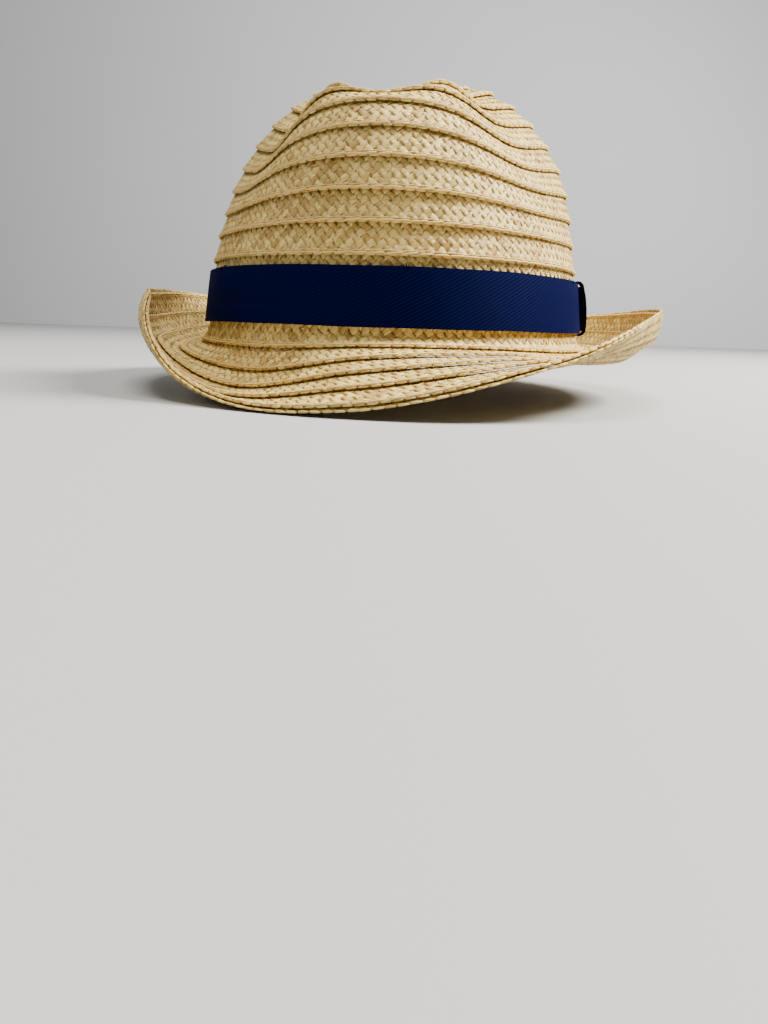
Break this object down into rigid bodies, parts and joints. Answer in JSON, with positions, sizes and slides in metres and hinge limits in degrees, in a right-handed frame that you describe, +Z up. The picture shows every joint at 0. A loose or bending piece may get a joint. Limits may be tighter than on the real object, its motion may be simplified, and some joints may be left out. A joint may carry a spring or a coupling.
{
  "type": "straw fedora hat",
  "caption": "Short-brimmed straw fedora of lapped plaited braid with a pinched crown, a curled brim, a navy ribbon band, side bow and inner sweatband.",
  "frame": {"origin": "centre of the head opening, level with the turn from crown to brim", "axes": "+X towards the wearer's left (bow side), front of the hat at -Y, +Z up through the crown"},
  "size_m": [0.2433, 0.2843, 0.1341],
  "materials": {
    "straw_braid": "satin plaited straw",
    "sewing_thread": "matte thread",
    "navy_ribbon": "fine ribbed ribbon",
    "keeper_ribbon": "satin ribbon",
    "tack_thread": "matte thread",
    "cotton_tape": "matte woven cotton"
  },
  "bodies": {
    "root": {"tip_course": "straw_braid", "crown_course_01": "straw_braid", "crown_course_02": "straw_braid", "crown_course_03": "straw_braid", "crown_course_04": "straw_braid", "crown_course_05": "straw_braid", "crown_course_06": "straw_braid", "crown_course_07": "straw_braid", "crown_course_08": "straw_braid", "crown_course_09": "straw_braid", "crown_course_10": "straw_braid", "crown_course_11": "straw_braid", "crown_course_12": "straw_braid", "crown_course_13": "straw_braid", "flare_course": "straw_braid", "brim_course_01": "straw_braid", "brim_course_02": "straw_braid", "brim_course_03": "straw_braid", "brim_course_04": "straw_braid", "rim_course": "straw_braid", "crown_seam_thread": "sewing_thread", "brim_seam_thread": "sewing_thread", "hatband": "navy_ribbon", "bow_loop": "navy_ribbon", "keeper": "keeper_ribbon", "band_tacks": "tack_thread", "sweatband": "cotton_tape", "sweat_thread": "sewing_thread"}
  },
  "joints": []
}
